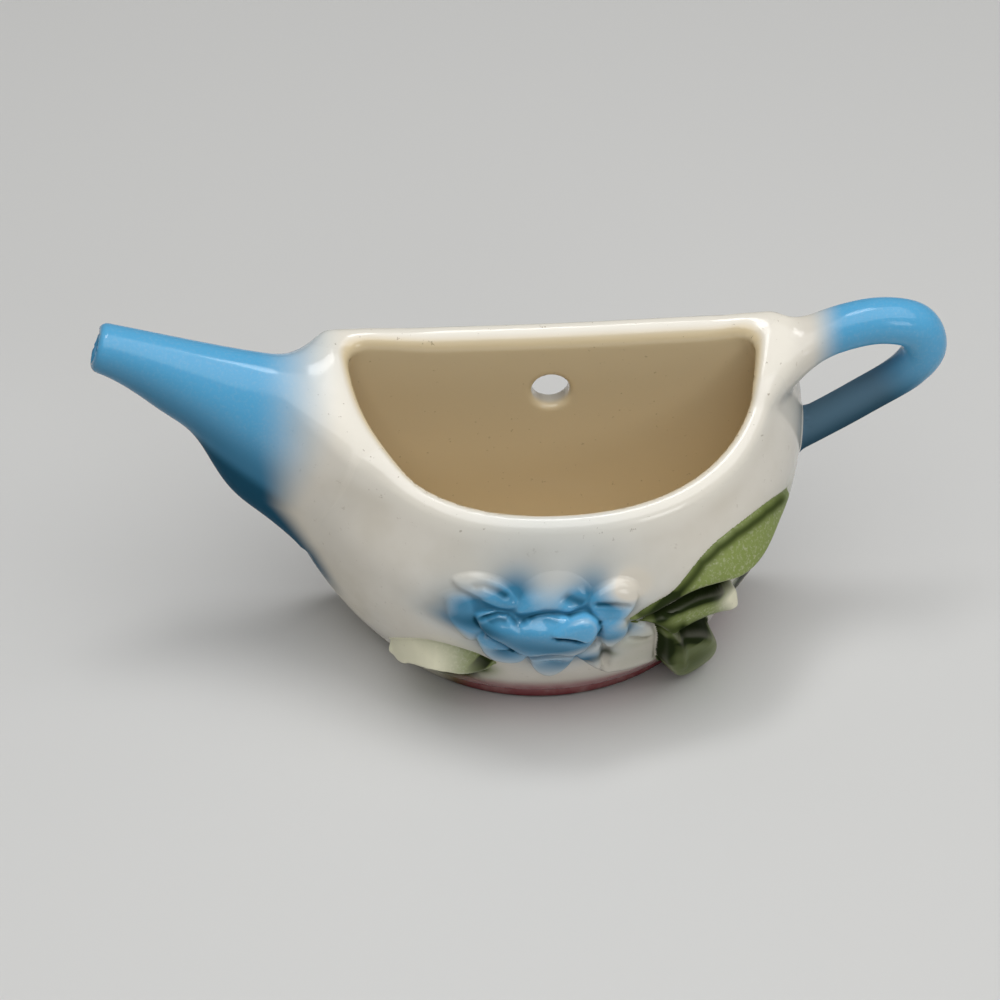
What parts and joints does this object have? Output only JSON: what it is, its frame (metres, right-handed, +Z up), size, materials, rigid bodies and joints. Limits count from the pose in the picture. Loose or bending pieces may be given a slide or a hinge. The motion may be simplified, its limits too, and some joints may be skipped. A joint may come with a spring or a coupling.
{
  "type": "wall pocket planter",
  "caption": "Glazed earthenware wall pocket in the shape of half a teapot, with a flat back, a hanging hole, a spout, a loop handle and a flower sprig on the front.",
  "frame": {"origin": "middle of the hanging hole, in the plane of the wall that the back lies against", "axes": "+X towards the handle, with the spout at -X; +Y out of the back, into the wall; +Z up"},
  "size_m": [0.1822, 0.0565, 0.0815],
  "materials": {
    "cream_glaze": "glossy clear glaze over a warm off-white body, with fine dark specks",
    "foot_glaze": "off-white glaze with a brushed pink band along the lower edge",
    "blue_glaze": "airbrushed sky blue under clear glaze, darker below and fading to off-white at the body",
    "flower_glaze": "airbrushed pale blue over white under clear glaze, deeper in the folds",
    "leaf_glaze": "airbrushed olive green with fine pale grain under clear glaze"
  },
  "bodies": {
    "root": {"pocket_wall": "cream_glaze", "back_wall": "cream_glaze", "foot": "foot_glaze", "spout": "blue_glaze", "handle": "blue_glaze", "petal_curl": "flower_glaze", "petal_cup": "flower_glaze", "petal_top": "flower_glaze", "petal_upper_left": "flower_glaze", "petal_upper_right": "flower_glaze", "petal_left": "flower_glaze", "petal_right": "flower_glaze", "petal_lower_left": "flower_glaze", "petal_lower_mid": "flower_glaze", "petal_lower_right": "flower_glaze", "sepal_right": "cream_glaze", "leaf_left": "leaf_glaze", "leaf_right_upper": "leaf_glaze", "leaf_right_middle": "leaf_glaze", "leaf_right_lower": "leaf_glaze"}
  },
  "joints": []
}
